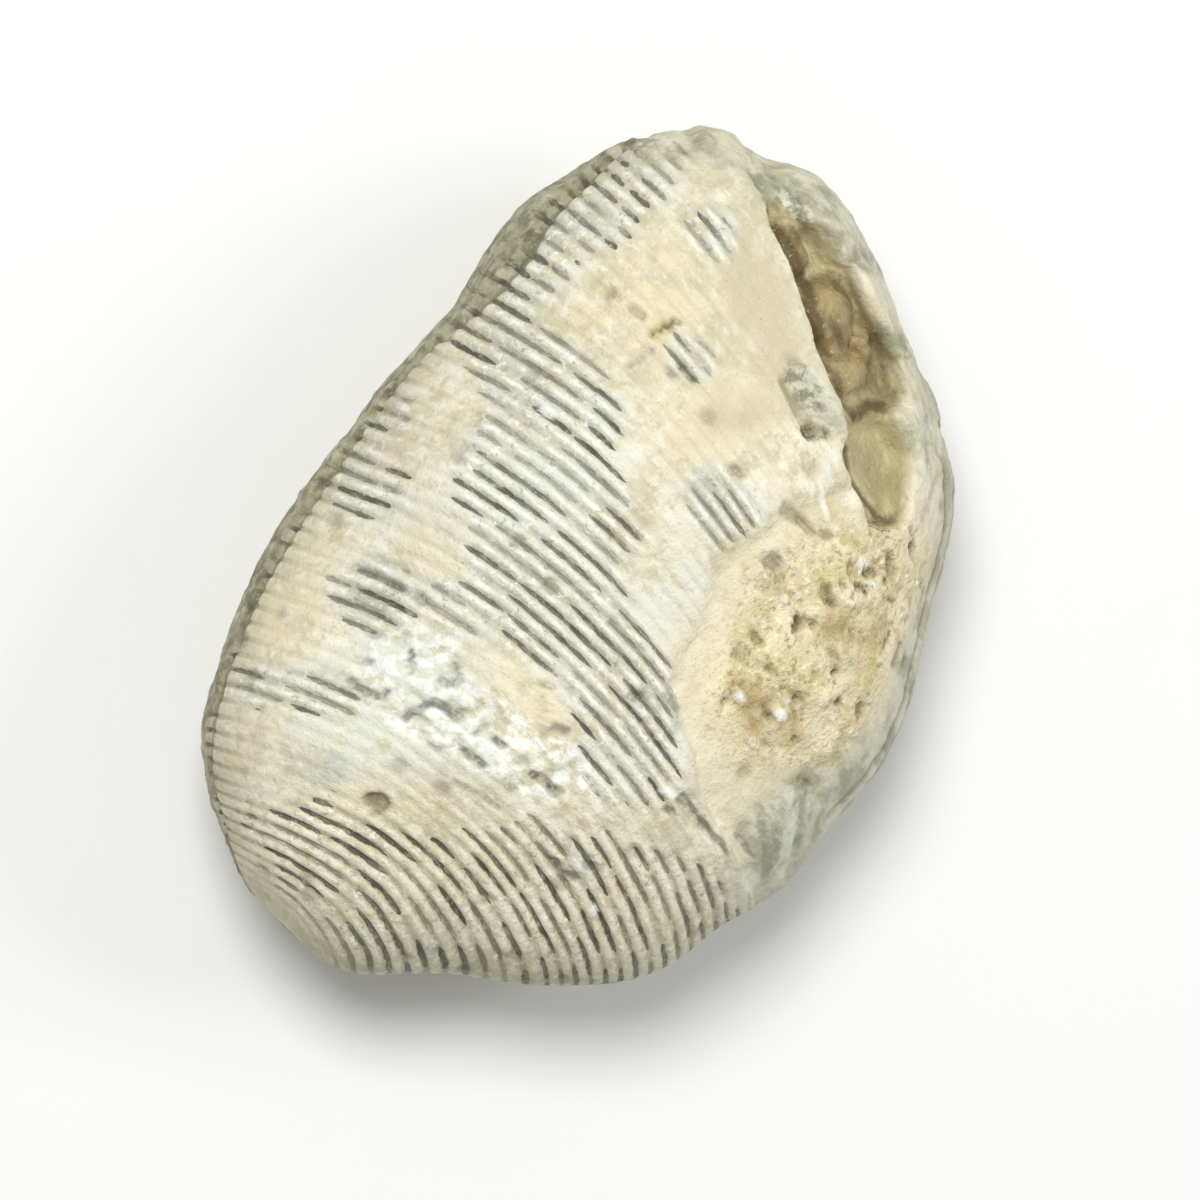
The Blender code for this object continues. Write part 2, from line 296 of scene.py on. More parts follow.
# pits and scars: x, y, half length, half width, angle, depth
scars = [
    (-12.9, 1.8, 0.55, 0.42, -50, 0.3),
    (11.1, -2.3, 0.3, 0.24, -50, 0.4), (12.5, -1.1, 1.5, 0.4, -110, 0.22),
    (5.9, -4.7, 0.55, 0.4, -50, 0.35), (4.9, -7.5, 0.3, 0.3, 0, 0.3),
    (3.0, -6.3, 0.28, 0.22, 60, 0.3), (9.2, -9.0, 0.3, 0.75, -40, 0.3),
    (8.0, -4.9, 0.7, 0.22, -100, 0.3), (10.2, -6.9, 0.5, 0.2, 20, 0.3),
    (-7.5, 1.2, 1.1, 0.2, -30, 0.2), (-5.4, -1.2, 0.9, 0.2, 40, 0.2),
    (-9.0, 2.6, 0.7, 0.2, -80, 0.2), (-6.4, -3.6, 0.8, 0.22, -20, 0.2),
    (2.4, 8.9, 0.5, 0.2, 30, 0.2), (-4.7, -9.2, 1.7, 0.14, -98, 0.2),
]
# stone left in the pit: x, y, half length, half width, angle, height
fillings = [
    (16.0, -0.1, 1.8, 1.2, 62, 1.4), (17.0, 2.9, 1.2, 0.6, 66, 0.9),
    (14.8, -2.5, 1.0, 1.1, 62, 0.8), (17.0, 0.8, 0.6, 0.5, 0, 1.0), (16.1, -2.2, 0.7, 0.5, 60, 1.3),
    (15.2, -1.6, 0.5, 0.6, 20, 1.0),
]
septum = (13.45, -3.75, 0.5, 2.4, 50)  # a low wall across the pit
# thin marks: half width, strength, points of the line
strokes = {
    # dark chip marks: partly scratches, partly painted shadow beside the chips
    "scratchAndShadow": [
        (0.14, 0.80, [(-7.0, 4.8), (-7.7, 4.2)]),
        (0.23, 0.75, [(-9.3, 3.2), (-8.6, 2.9), (-8.0, 2.6), (-7.8, 2.0), (-7.9, 1.6),
            (-7.5, 1.5)]),
        (0.20, 0.60, [(-6.3, 2.9), (-6.6, 2.5), (-7.0, 2.5), (-7.1, 3.1)]),
        (0.21, 0.75, [(-9.7, 6.0), (-9.6, 5.2), (-9.3, 4.4), (-9.0, 4.5)]),
        (0.20, 0.50, [(-8.7, 6.3), (-8.5, 5.9)]),
        (0.17, 0.40, [(-7.7, 6.8), (-7.4, 6.3)]),
        (0.20, 0.75, [(-8.7, 0.3), (-8.7, -0.2), (-8.7, -0.7)]),
        (0.21, 0.80, [(-7.5, -0.3), (-7.5, -0.8)]),
        (0.17, 0.70, [(-7.9, 0.4), (-7.4, 0.3)]),
        (0.15, 0.60, [(-7.7, -1.8), (-7.3, -1.9)]),
        (0.23, 0.90, [(-7.7, -2.5), (-7.5, -3.1), (-7.6, -3.8)]),
        (0.23, 0.60, [(-8.7, -2.1), (-8.6, -2.3)]),
        (0.17, 0.50, [(-10.0, -0.3), (-9.8, -1.0), (-9.7, -1.6), (-9.7, -2.4)]),
        (0.19, 0.60, [(-6.0, -1.8), (-5.6, -1.9), (-5.3, -2.5)]),
        (0.19, 0.50, [(-4.5, -0.4), (-4.3, -0.7)]),
        (0.11, 0.35, [(-9.5, 1.7), (-9.4, 1.2), (-8.9, 0.9)]),
        (0.23, 0.45, [(-5.6, 8.9), (-5.4, 7.9), (-5.2, 6.9)]),
        (0.38, 0.30, [(-6.6, 8.3), (-6.6, 7.5), (-6.5, 7.0)]),
        (0.11, 0.70, [(-4.2, -8.1), (-4.5, -9.3), (-4.9, -11.0)]),
        (0.18, 0.90, [(-4.7, -10.4), (-4.7, -10.7)]),
        (0.18, 0.70, [(-5.1, -7.9), (-5.0, -8.1)]),
        (0.16, 0.50, [(-4.1, -11.2), (-4.3, -12.0)]),
        (0.24, 0.60, [(-2.4, -3.7), (-2.0, -4.0)]),
        (0.20, 0.55, [(-1.4, -4.9), (-1.6, -5.5)]),
        (0.17, 0.80, [(-9.9, -5.7), (-10.0, -6.4), (-9.9, -6.9)]),
        (0.20, 0.50, [(-9.3, -6.8), (-8.9, -7.4)]),
        (0.19, 0.55, [(9.7, 3.7), (9.6, 3.0)]),
        (0.19, 0.50, [(8.3, 5.4), (9.4, 5.2)]),
        (0.19, 0.50, [(9.2, 4.1), (9.2, 3.7)]),
    ],
    "hole": [
        (0.28, 0.55, [(5.6, -5.5), (5.2, -5.8)]),
        (0.30, 0.35, [(4.8, -5.0), (5.0, -5.3)]),
        (0.19, 0.80, [(6.6, -7.3), (6.2, -7.7)]),
        (0.20, 0.95, [(4.8, -7.2), (4.3, -7.5)]),
        (0.19, 0.70, [(2.3, -7.6), (2.3, -7.7)]),
        (0.19, 0.90, [(8.2, -8.2), (8.4, -8.6)]),
        (0.16, 0.80, [(7.5, -8.2), (7.6, -8.8)]),
        (0.14, 0.60, [(7.1, -7.7), (7.1, -7.8)]),
        (0.19, 0.90, [(10.8, -9.3), (10.4, -9.6)]),
        (0.21, 0.70, [(3.6, -11.6), (3.3, -11.8)]),
        (0.16, 0.50, [(4.6, -9.4), (4.5, -9.7)]),
        (0.16, 0.50, [(6.9, -11.6), (6.0, -12.0)]),
        (0.12, 0.60, [(8.0, -7.3), (7.7, -7.7)]),
        (0.17, 0.60, [(8.2, -5.7), (8.3, -5.9)]),
        (0.10, 0.40, [(0.6, -8.8), (1.2, -8.5), (1.7, -8.8), (1.8, -9.4), (1.4, -10.0)]),
        (0.10, 0.35, [(0.6, -8.3), (1.6, -8.3), (2.2, -8.9), (2.1, -9.8), (1.5, -10.3)]),
        (0.11, 0.40, [(0.4, -7.0), (0.8, -6.8), (1.1, -7.2)]),
        (0.12, 0.40, [(9.5, -8.9), (9.1, -9.1)]),
        (0.12, 0.35, [(5.4, -6.8), (5.5, -6.8)]),
        (0.12, 0.40, [(7.9, -9.7), (8.2, -10.2)]),
        (0.11, 0.35, [(5.9, -9.1), (5.3, -9.3)]),
        (0.28, 0.90, [(11.0, -2.3), (11.4, -2.8)]),
        (0.32, 0.55, [(12.1, -0.3), (11.6, -1.2), (11.2, -2.1)]),
        (0.28, 0.45, [(7.9, -3.6), (8.0, -4.4)]),
        (0.20, 0.50, [(8.2, -5.6), (8.3, -5.9)]),
        (0.20, 0.60, [(7.8, -0.8), (7.8, -1.2)]),
        (0.18, 0.60, [(-0.5, -11.9), (-0.4, -12.2)]),
        (0.17, 0.85, [(10.0, 5.5), (10.5, 5.4), (11.1, 5.1)]),
        (0.17, 0.50, [(10.2, 7.0), (10.3, 6.4)]),
        (0.33, 0.60, [(-13.0, 2.0), (-12.9, 1.5)]),
        (0.17, 0.60, [(-13.3, 1.6), (-13.3, 1.5)]),
    ],
    "flank": [
        (0.16, 0.35, [(-0.9, -12.0), (-2.6, -12.5), (-3.6, -13.2)]),
        (0.13, 0.40, [(19.3, 2.3), (18.4, -0.6), (17.1, -3.3), (15.2, -6.0), (13.1, -8.5)]),
        (0.11, 0.30, [(17.5, 1.7), (17.7, 0.2), (17.1, -1.7), (16.4, -3.2)]),
        (0.17, 0.50, [(16.0, -3.4), (16.0, -4.0), (15.7, -4.6)]),
        (0.15, 0.50, [(17.1, -1.4), (16.8, -2.3)]),
        (0.22, 0.50, [(-2.6, -11.2), (-4.0, -12.6), (-5.4, -13.5)]),
        (0.16, 0.55, [(-0.7, -12.3), (-2.1, -13.1), (-4.1, -13.7)]),
        (0.16, 0.40, [(-2.9, -12.2), (-3.8, -12.9)]),
        (0.16, 0.50, [(18.1, 4.1), (17.6, 2.6)]),
        (0.16, 0.40, [(19.9, 4.5), (19.4, 1.9), (18.6, -0.5)]),
        (0.16, 0.50, [(11.1, -8.7), (10.5, -9.6)]),
        (0.15, 0.35, [(19.5, 5.3), (19.7, 4.3), (19.4, 3.4)]),
        (0.17, 0.40, [(18.2, 5.6), (19.0, 4.9)]),
        (0.15, 0.40, [(11.8, -8.9), (13.9, -8.1)]),
    ],
    "pale": [
        (0.24, 0.60, [(-1.3, -11.9), (-2.6, -12.7), (-4.7, -13.7)]),
        (0.20, 0.60, [(-1.0, -13.2), (-3.0, -13.8), (-5.1, -14.5)]),
        (0.22, 0.60, [(19.8, 3.3), (19.2, 1.1), (17.9, -1.6)]),
        (0.18, 0.50, [(15.6, -5.5), (14.1, -7.0), (12.7, -7.9)]),
        (0.22, 0.70, [(10.6, -3.5), (9.7, -4.4)]),
    ],
    "pitShade": [
        (0.28, 0.90, [(16.7, 4.6), (16.5, 3.4), (15.9, 1.9), (15.1, 1.1), (14.6, 0.1)]),
        (0.18, 0.60, [(14.1, -0.8), (13.7, -2.1), (12.9, -3.1)]),
        (0.14, 0.25, [(18.1, 2.5), (17.6, 0.9), (17.4, -0.7), (16.9, -2.3)]),
        (0.32, 0.90, [(13.0, -3.3), (13.9, -3.6), (14.3, -4.1)]),
        (0.14, 0.80, [(11.8, -3.9), (10.9, -4.8), (10.5, -5.8), (10.3, -7.0), (10.6, -7.8)]),
        (0.14, 0.40, [(10.7, -7.8), (11.8, -7.7), (12.7, -7.2)]),
        (0.26, 0.60, [(10.5, -7.5), (10.7, -7.7)]),
        (0.18, 0.60, [(18.0, 4.1), (18.0, 3.9)]),
        (0.24, 0.50, [(16.2, 1.8), (16.7, 1.1), (16.8, 0.2)]),
        (0.18, 0.60, [(16.9, -2.3), (16.8, -3.1)]),
        (0.22, 0.50, [(15.8, -3.3), (15.6, -3.5)]),
        (0.26, 0.45, [(15.4, -4.5), (15.3, -4.9)]),
        (0.14, 0.50, [(15.2, 0.1), (15.1, -1.1), (15.7, -1.8), (16.7, -2.0)]),
    ],
    # painted highlights on small raised flakes
    "glint": [
        (0.15, 0.90, [(8.3, -7.7), (8.0, -7.9)]),
        (0.14, 0.80, [(7.8, -8.6), (8.0, -8.9)]),
        (0.26, 1.00, [(0.6, -7.4), (0.6, -7.4)]),
        (0.25, 0.90, [(1.1, -9.2), (1.1, -9.3)]),
        (0.16, 0.60, [(5.6, -6.5), (5.6, -6.6)]),
        (0.17, 0.60, [(6.3, -4.9), (6.3, -5.0)]),
        (0.20, 0.90, [(-7.6, 2.6), (-7.2, 2.3)]),
        (0.25, 0.90, [(-8.5, 2.4), (-8.4, 2.3)]),
        (0.16, 0.70, [(-7.9, 4.0), (-8.0, 3.8)]),
        (0.17, 0.60, [(-6.7, 1.9), (-6.7, 1.6)]),
        (0.15, 0.60, [(-8.1, 0.5), (-8.3, 0.2)]),
        (0.19, 0.80, [(-9.4, -6.3), (-9.5, -6.7)]),
        (0.16, 0.70, [(-10.5, -8.3), (-10.5, -8.5)]),
        (0.18, 0.90, [(-4.6, -7.2), (-4.5, -7.7)]),
        (0.13, 0.70, [(9.5, -4.2), (8.8, -5.3)]),
        (0.17, 0.60, [(8.5, -7.6), (8.4, -8.1)]),
        (0.19, 0.90, [(4.5, 7.0), (4.6, 6.7)]),
    ],
}
# how far each kind of mark stands over the shell
strokeRise = {
    "scratchAndShadow": -0.14, "hole": -0.3, "flank": -0.12, "pale": 0.07, "pitShade": -0.1, "glint": 0.12,
}


def ribMap(row, points):
    # rib count along the row with a gentle wave, finer towards the left tip, and millimetres
    # round each ring
    wave = noise(points, 6.5, 3) + 0.35 * noise(points, 1.9, 4)
    steps = np.linalg.norm(points - np.roll(points, 1, axis=1), axis=-1)
    steps[:, 0] = 0
    finer = relief["finerBy"] * (1 - np.exp(-row / relief["finerReach"]))
    count = (row + finer) * form["ribs"] / form["ribbedRow"] + 0.5 + relief["ribWave"] * wave
    return count, np.cumsum(steps, axis=1)


def dashes(groove, arc, crowd):
    # each groove is a row of dashes with rounded ends and lengths, gaps and lucks of their own,
    # shorter near the front margin where they crowd: the width here as a share of the widest,
    # the luck and the darkness
    dice = np.random.default_rng(31).uniform(0, 1, (128, 64, 4))
    number = groove.astype(int) % 128
    way = arc + 3 * crowd * (1 - np.exp(-arc / 3))
    t = way / (relief["dashLeast"] + relief["dashSpan"] * dice[number, 0, 0]) + dice[number, 0, 1]
    cell = np.floor(t).astype(int)
    roll = dice[number, 1 + cell % 63]
    length = relief["dashShare"] + relief["dashShareSpan"] * roll[..., 0]
    middle = length / 2 + (1 - length) * roll[..., 1]
    off = (t - cell - middle) / (length / 2)
    return np.sqrt(np.clip(1 - off**4, 0, 1)), roll[..., 2], roll[..., 3]


def strokeMask(seen, kind, wobble):
    # the strongest line here, each one soft at its edge
    best = np.zeros(seen.shape[:-1])
    for half, strength, path in strokes[kind]:
        gap, _, _ = pathDistance(seen, path, [0] * len(path))
        best = np.maximum(best, strength * smooth(1.25 * half, 0.55 * half, gap + wobble))
    return best


def masks(row, plain, count, arc):
    # shares from nought to one that both the relief and the colours use
    facingUp = smooth(0.1, 0.5, outward(plain)[..., 2])
    x, y, z = np.moveaxis(plain, -1, 0)
    rim = form["rimHeight"]
    m = {"above": smooth(rim - 3, rim - 1, z)}
    seen = plain[..., :2] + np.multiply.outer(z - rim, slant)
    m["seen"] = seen
    rough = layered(plain, 2.0, 11)
    for k, (name, places) in enumerate(marks.items()):
        share = blots(seen, places) + relief["markWander"] * rough
        share = share + relief["markGrain"] * noise(plain, 0.7, 12 + k)
        low, high = edges.get(name, relief["markEdges"])
        m[name] = smooth(low, high, share) * m["above"]
        if name == "grooved":
            m["cool"] = smooth(0.05, 0.7, share) * m["above"]
    # the lower left is sallower than the rest
    m["sallow"] = m["above"] * smooth(-6, -13, x + 0.5 * y)
    m["cool"] *= 1 - m["sallow"]
    m["fade"] = smooth(0, 0.05, row) * smooth(1, 0.95, row)
    m["crusted"] = (1 - m["above"]) * smooth(-0.1, 0.5, layered(plain, 5.0, 15))
    m["ribbed"] = smooth(0.015, 0.08, row) * smooth(0.8, 0.7, row) * (1 - 0.75 * m["crusted"])
    m["ribbed"] *= (1 - 0.7 * m["pink"]) * (1 - (1 - m["above"]) * smooth(0.26, 0.06, row))
    past = np.interp(seen[..., 0], relief["wornEdgeX"], relief["wornEdgeY"], left=-20)
    m["pastEdge"] = past - seen[..., 1]
    m["worn"] = m["above"] * smooth(-0.1, 0.6, m["pastEdge"] + 0.5 * rough)
    m["banded"] = m["worn"] * smooth(12.2, 10.4, z) * smooth(-2, -6, y)
    m["ridge"] = np.exp(-((m["pastEdge"] / relief["ridgeWidth"]) ** 2)) * smooth(10, 13.5, x)

    gap, m["pitShare"], side = pathDistance(seen, relief["pitAxis"], relief["pitHalfWidth"])
    gap = gap + relief["pitWander"] * layered(plain, 1.3, 21)
    wall = np.where(side < 0, relief["leftWall"], relief["rightWall"])
    m["pit"] = smooth(0.5, -0.6, gap / wall) * smooth(rim + 2.2, rim + 3.8, z + 0.5 * rough)
    sink = relief["pitSink"]
    drift = np.add(sink[:2], np.multiply(sink[2], slant))
    sunk = seen + m["pit"][..., None] * drift
    wobble = relief["strokeWander"] * layered(plain, 0.5, 41)
    for kind in strokes:
        m[kind] = strokeMask(sunk, kind, wobble) * facingUp
    heap = [h * np.sqrt(np.clip(1 - ellipse(seen, *at), 0, 1)) for *at, h in fillings]
    m["heap"] = np.max(heap, axis=0) * smooth(0.72, 0.6, m["pitShare"])
    m["septum"] = np.exp(-ellipse(seen, *septum))

    groove = np.round(count)
    m["offGroove"] = np.abs(count - groove)
    width, luck, m["strength"] = dashes(groove, arc, relief["dashCrowd"] * smooth(6, 9, x))
    patch = m["grooved"] * (1 - m["worn"])
    wanted = 0.05 + 0.8 * luck
    m["dash"] = width * smooth(wanted - 0.12, wanted + 0.12, patch)
    m["cut"] = np.maximum(m["dash"], 0.7 * width * (1 - m["above"]))

    seam = form["upperPoints"]
    m["frontGap"] = np.minimum(arc, arc[:, -1:] + 0.1 - arc)
    m["hingeGap"] = np.abs(arc - arc[:, seam : seam + 1])
    m["lower"] = (np.arange(arc.shape[1]) >= seam) * np.ones_like(arc)
    m["lip"] = m["lower"] * smooth(rim - 2.4, rim, z + 0.7 * rough)
    # two thin lines of growth along the hinge side's flank
    flank = smooth(-3, 1, x) * smooth(-6, -9, y) * (1 - m["lower"])
    lines = [np.exp(-(((z - rim - h - 0.3 * rough) / 0.22) ** 2)) for h in (1.2, 2.8)]
    m["flankLine"] = np.maximum(*lines) * flank
    # mottling of the stone from coarse to fine, nought to one around a half
    for name, size, seed in (("broad", 5.5, 101), ("medium", 2.0, 102), ("blotch", 0.95, 103)):
        m[name] = 0.5 + 0.34 * layered(plain, size, seed, 4)
    return m


def shellHeight(row, plain, arc, m):
    # the sum of every low form on the shell, in millimetres outwards
    x, y, z = np.moveaxis(plain, -1, 0)
    ribbed = m["ribbed"] * (1 - m["worn"]) * (1 - m["pit"]) * (1 - 0.8 * m["lip"])
    ribbed *= (0.4 + 0.6 * smooth(8.5, 12, z)) * (1 - 0.6 * np.exp(-((m["frontGap"] / 0.7) ** 2)))
    ribbed *= 1 - 0.6 * smooth(5, 9, x) * np.exp(-((m["frontGap"] / 3) ** 2))
    ribbed *= 1 - 0.75 * smooth(-4, -8, y) * smooth(13, 9.5, z) * (1 - m["lower"])
    fresh = np.maximum(m["grooved"], 0.6 * (1 - m["above"]))
    crest = np.cos(2 * np.pi * m["offGroove"])
    kept = np.maximum(fresh, 0.18 + 0.22 * noise(plain, 3.5, 52))
    height = -relief["ribRound"] * crest * ribbed * kept
    groove = np.exp(-((m["offGroove"] / relief["cutShare"]) ** 2))
    cut = np.maximum(m["cut"] * (0.5 + 0.5 * m["above"]), 0.1)
    height -= relief["ribCut"] * groove * ribbed * cut

    growth = np.stack([arc / 0.5, row * 9, 0 * arc], axis=-1)
    height += relief["growthLine"] * noise(growth + 0.4 * noise(plain, 3.0, 6)[..., None], 1, 7)
    swell = np.sin(0.42 * x + 1.1) * np.sin(0.37 * y - 0.6) + 0.5 * np.sin(0.5 * (x - y))
    height += relief["swell"] * swell * m["fade"]

    height -= relief["wornDepth"] * m["worn"] * (1 - 0.8 * smooth(13, 17, x)) * smooth(8, 12, z)
    height += relief["ridgeHeight"] * m["ridge"] * m["above"] * m["fade"]
    beakX, beakY, beakWidth, beakHeight = relief["beak"]
    nearBeak = smooth(beakWidth, 0, np.hypot(x - beakX, y - beakY))
    height += beakHeight * nearBeak * (1 - m["lower"])

    tipFade = np.sin(np.pi * row) ** 0.7
    seams = np.exp(-((np.minimum(m["frontGap"], m["hingeGap"]) / relief["seamWidth"]) ** 2))
    height -= relief["seamDepth"] * seams * tipFade
    nearRim = np.exp(-((m["frontGap"] / 0.6) ** 2)) * ribbed
    nearRim *= np.clip(0.6 + 0.9 * noise(plain, 1.3, 53), 0, 1)
    height -= relief["notchDepth"] * groove * nearRim
    height -= relief["lipStep"] * m["lip"] * tipFade
    bumps = relief["lipRough"] * layered(plain, 1.4, 61)
    height += (bumps + relief["lipGrain"] * noise(plain, 0.45, 62)) * m["lip"]
    height += relief["mossRough"] * layered(plain, 1.2, 63) * m["mossy"] * (1 - m["pit"])
    height -= relief["flankLineDepth"] * m["flankLine"]

    # knobs and holes on the ochre ground, flakes where it is scuffed, crystals beside the pit
    knob, _, _ = cells(plain, 1.05, 71)
    small, _, luck = cells(plain, 0.62, 73)
    hole = smooth(0.45, 0.2, small) * (luck < 0.12)
    pearl = smooth(0.4, 0.1, small) * (luck > 0.9)
    ground = m["ochre"] * (1 - m["pit"])
    knobs = relief["knobHeight"] * (0.5 - knob)
    height += (knobs + relief["ochreRough"] * layered(plain, 1.1, 72)) * ground
    height += (relief["pearlHeight"] * pearl - relief["holeDepth"] * hole) * ground
    _, border, flake = cells(plain + 0.4 * noise(plain, 0.7, 75)[..., None], 1.15, 76)
    flaked = np.where(flake > 0.75, relief["flakeRise"], 0)
    flaked = np.where(flake < 0.35, -relief["flakeDepth"], flaked)
    height += flaked * smooth(0, 0.15, border) * m["scuffed"]
    m["hollow"], m["pearl"] = hole * ground, pearl * ground
    point, _, tall = cells(plain, 0.42, 77)
    grains = relief["crystalHeight"] * tall - relief["crystalDepth"] * point
    height += grains * m["crystal"] * (1 - m["pit"])

    height += relief["crustRough"] * layered(plain, 1.7, 83) * m["crusted"]
    calm = m["worn"] * (1 - m["ochre"])
    swells = relief["wornRough"] * layered(plain, 2.4, 81)
    height += (swells + relief["wornGrain"] * noise(plain, 0.5, 82)) * calm
    height += relief["stoneRough"] * layered(plain, 1.3, 91, 4)
    chip, _, rare = cells(plain, 1.9, 95)
    chips = smooth(0.3, 0.12, chip) * (rare < 0.35) * (1 - m["pit"])
    height -= relief["chipDepth"] * chips * (0.3 + 0.7 * m["fade"])
    m["hollow"] = np.maximum(m["hollow"], 0.5 * chips)
    for kind, rise in strokeRise.items():
        height += rise * m[kind]
    for *place, depth in scars:
        ragged = ellipse(m["seen"], *place) + 0.6 * layered(plain, 0.6, 97)
        scar = smooth(1.3, 0.4, ragged) * m["above"]
        height -= depth * scar
        m["hollow"] = np.maximum(m["hollow"], scar * smooth(0.1, 0.45, depth))
    return height


def pitDepth(plain, m):
    # share of the pit's full depth: its walls, less the stone left inside and its roughness
    share = m["pitShare"]
    shallow = 0.45 * smooth(0.14, 0.0, share) + 0.25 * smooth(0.92, 1.0, share)
    rough = 0.1 * layered(plain, 0.7, 25) * smooth(0.75, 0.6, share)
    inside = smooth(0.4, 0.95, m["pit"])
    raised = m["heap"] / -relief["pitSink"][2] + relief["septumShare"] * m["septum"] + rough
    return m["pit"] * (1 - shallow) - inside * raised


def addMesh(name, points, quads, triangles, uv, values):
    # one mesh from whole arrays, with a UV map and named values for its material
    mesh = bpy.data.meshes.new(name)
    mesh.from_pydata(points.tolist(), [], quads.tolist() + triangles.tolist())
    layer = mesh.uv_layers.new(name="ribMap")
    layer.data.foreach_set("uv", uv.ravel())
    for key, value in values.items():
        mesh.attributes.new(key, "FLOAT", "POINT").data.foreach_set("value", value)
    mesh.shade_smooth()
    piece = bpy.data.objects.new(name, mesh)
    bpy.context.scene.collection.objects.link(piece)
    return piece


def makeShell():
    # the plain shell, moved along its normals by the low forms, then down into the pit, with
    # nothing left below the floor
    margin = closedSpline(form["frontMargin"] + form["hingeMargin"], form["splineSteps"])
    row, turn = shellGrid()
    plain = plainShell(row, turn, margin)
    count, arc = ribMap(row, plain)
    m = masks(row, plain, count, arc)
    points = plain + outward(plain) * shellHeight(row, plain, arc, m)[..., None]
    points += pitDepth(plain, m)[..., None] * relief["pitSink"]
    points[..., 2] = np.maximum(points[..., 2], 0)
    points[..., :2] -= form["middle"]

    rows, ringSize = turn.shape
    index = np.arange(rows * ringSize).reshape(rows, ringSize)
    after = np.roll(index, -1, axis=1)
    quads = np.stack([index[:-1], index[1:], after[1:], after[:-1]], -1).reshape(-1, 4)
    tips = rows * ringSize + np.zeros((2, ringSize), int) + [[0], [1]]
    leftTip = np.stack([index[0], after[0], tips[0]], -1)
    rightTip = np.stack([after[-1], index[-1], tips[1]], -1)
    triangles = np.concatenate([leftTip, rightTip])

    # the UV map holds the rib count and the way round the ring, unbroken at the front seam
    lap = np.concatenate([count, count[:, :1]], axis=1)
    way = np.concatenate([arc, arc[:, -1:] + arc[:, 1:2]], axis=1)
    both = np.stack([lap, way], -1)
    corners = [both[:-1, :-1], both[1:, :-1], both[1:, 1:], both[:-1, 1:]]
    uv = np.stack(corners, axis=2).reshape(-1, 2)
    uv = np.concatenate([uv, np.zeros((triangles.size, 2))])

    ends = np.stack([points[0].mean(axis=0), points[-1].mean(axis=0)])
    everyPoint = np.concatenate([points.reshape(-1, 3), ends]) * mm
    m["seam"] = np.minimum(m["frontGap"], m["hingeGap"])
    m["filled"] = smooth(0.15, 0.6, m["heap"])
    m["height"] = plain[..., 2]
    shown = (
        "worn", "grooved", "dash", "pit", "pitShare", "filled", "ochre", "tan", "gold", "lip",
        "pink", "warm", "chalk", "crystal", "ashy", "smoothFlank", "flankLine", "mossy", "cool",
        "hollow", "pearl", "seam", "frontGap", "height", "scuffed", "strength", "ribbed",
        "crusted", "septum", "sallow", "banded", "broad", "medium", "blotch", *strokes,
    )
    values = {key: np.append(m[key].ravel(), [0, 0]) for key in shown}
    shell = addMesh("fossilShell", everyPoint, quads, triangles, uv, values)
    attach(shell, "root")
    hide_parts("fossil")
    return shell


shell = makeShell()
print("shell made:", len(shell.data.polygons), "faces")


def colour(red, green, blue):
    # a screen colour from 0 to 255 as the linear colour that a shader takes
    value = np.array([red, green, blue]) / 255
    return (*np.where(value < 0.04045, value / 12.92, ((value + 0.055) / 1.055) ** 2.4), 1)


class Graph:
    # short ways to add and join a material's nodes
    def __init__(self, material):
        material.use_nodes = True
        self.tree = material.node_tree
        self.shader = self.tree.nodes["Principled BSDF"]

    def add(self, kind, sockets, **settings):
        made = self.tree.nodes.new(kind)
        for key, value in settings.items():
            setattr(made, key, value)
        for key, value in sockets.items():
            if isinstance(value, bpy.types.NodeSocket):
                self.tree.links.new(value, made.inputs[key])
            else:
                made.inputs[key].default_value = value
        return made

    def value(self, name):
        return self.add("ShaderNodeAttribute", {}, attribute_name=name).outputs["Fac"]

    def maths(self, operation, a, b=0.0, c=0.0):
        sockets = {0: a, 1: b, 2: c}
        return self.add("ShaderNodeMath", sockets, operation=operation).outputs[0]

    def times(self, a, b):
        return self.maths("MULTIPLY", a, b)

    def ramp(self, value, low, high, toLow=0.0, toHigh=1.0):
        sockets = {0: value, 1: low, 2: high, 3: toLow, 4: toHigh}
        made = self.add("ShaderNodeMapRange", sockets, interpolation_type="SMOOTHSTEP")
        return made.outputs[0]

    def noise(self, place, scale, detail=4.0, rough=0.6):
        sockets = {"Vector": place, "Scale": scale, "Detail": detail, "Roughness": rough}
        return self.add("ShaderNodeTexNoise", sockets).outputs["Fac"]

    def mix(self, share, a, b, blend="MIX"):
        sockets = {"Factor": share, 6: a, 7: b}
        settings = {"data_type": "RGBA", "blend_type": blend}
        return self.add("ShaderNodeMix", sockets, **settings).outputs[2]


